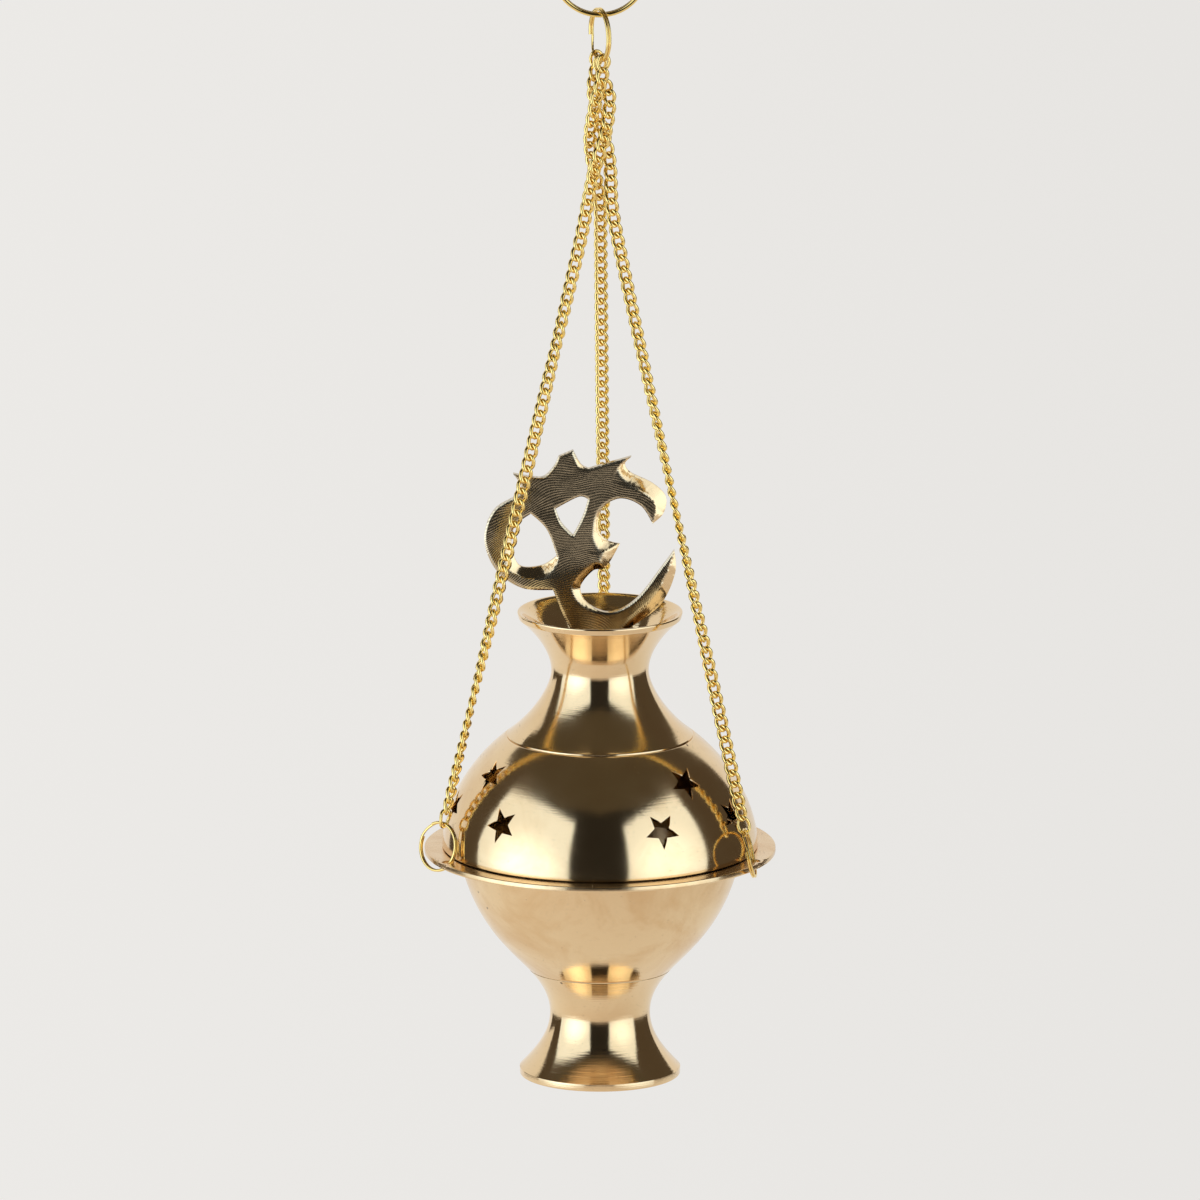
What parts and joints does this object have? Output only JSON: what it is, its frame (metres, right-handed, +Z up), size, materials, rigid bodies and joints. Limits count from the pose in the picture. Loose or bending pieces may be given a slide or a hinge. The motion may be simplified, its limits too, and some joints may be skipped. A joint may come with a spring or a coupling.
{
  "type": "hanging incense burner",
  "caption": "Turned bowl on a flared foot, with a star-pierced lid that carries an Om plate, hung on curb chains from split rings, for burning incense.",
  "frame": {"origin": "the hook point: the lowest point of the inside of the hanging ring's top, where a hook's crown bears", "axes": "+Z up along the turned axis, +X to the right and +Y away from the camera in the picture, square to the Om plate's front"},
  "size_m": [0.0914, 0.092, 0.3018],
  "materials": {
    "turned_brass": "polished, with fine turning lines",
    "cast_brass": "polished by hand, with fine curved scratches",
    "gilt_wire": "bright plated wire"
  },
  "bodies": {
    "hanger": {"hanging_ring": "gilt_wire"},
    "gather": {"gather_ring": "gilt_wire"},
    "burner": {"chain_left": "gilt_wire", "chain_right": "gilt_wire", "chain_rear": "gilt_wire", "bowl": "turned_brass", "foot": "turned_brass"},
    "lid": {"lid_dome": "turned_brass", "lid_neck": "turned_brass", "om_finial": "cast_brass"},
    "ring_left": {"flange_ring_left": "gilt_wire"},
    "ring_right": {"flange_ring_right": "gilt_wire"},
    "ring_rear": {"flange_ring_rear": "gilt_wire"}
  },
  "joints": [
    {"name": "gather_rock", "type": "hinge", "parent": "hanger", "child": "gather", "pos_m": [0, 0, -0.02302], "axis": [1, 0, 0], "range_deg": [-30, 30]},
    {"name": "burner_swing", "type": "hinge", "parent": "gather", "child": "burner", "pos_m": [0, 0, -0.03486], "axis": [0.342, -0.9397, 0], "range_deg": [-30, 30]},
    {"name": "lid_lift", "type": "slide", "parent": "burner", "child": "lid", "axis": [0, 0, 1], "range_m": [0, 0.006]},
    {"name": "ring_left_turn", "type": "hinge", "parent": "burner", "child": "ring_left", "pos_m": [-0.04134, -0.01418, -0.23719], "axis": [-0.6921, -0.6891, 0.2147], "continuous": true},
    {"name": "ring_right_turn", "type": "hinge", "parent": "burner", "child": "ring_right", "pos_m": [0.0382, -0.02124, -0.23719], "axis": [0.9752, -0.0532, 0.2147], "continuous": true},
    {"name": "ring_rear_turn", "type": "hinge", "parent": "burner", "child": "ring_rear", "pos_m": [0.00158, 0.04367, -0.23719], "axis": [-0.3953, 0.8931, 0.2147], "continuous": true}
  ]
}
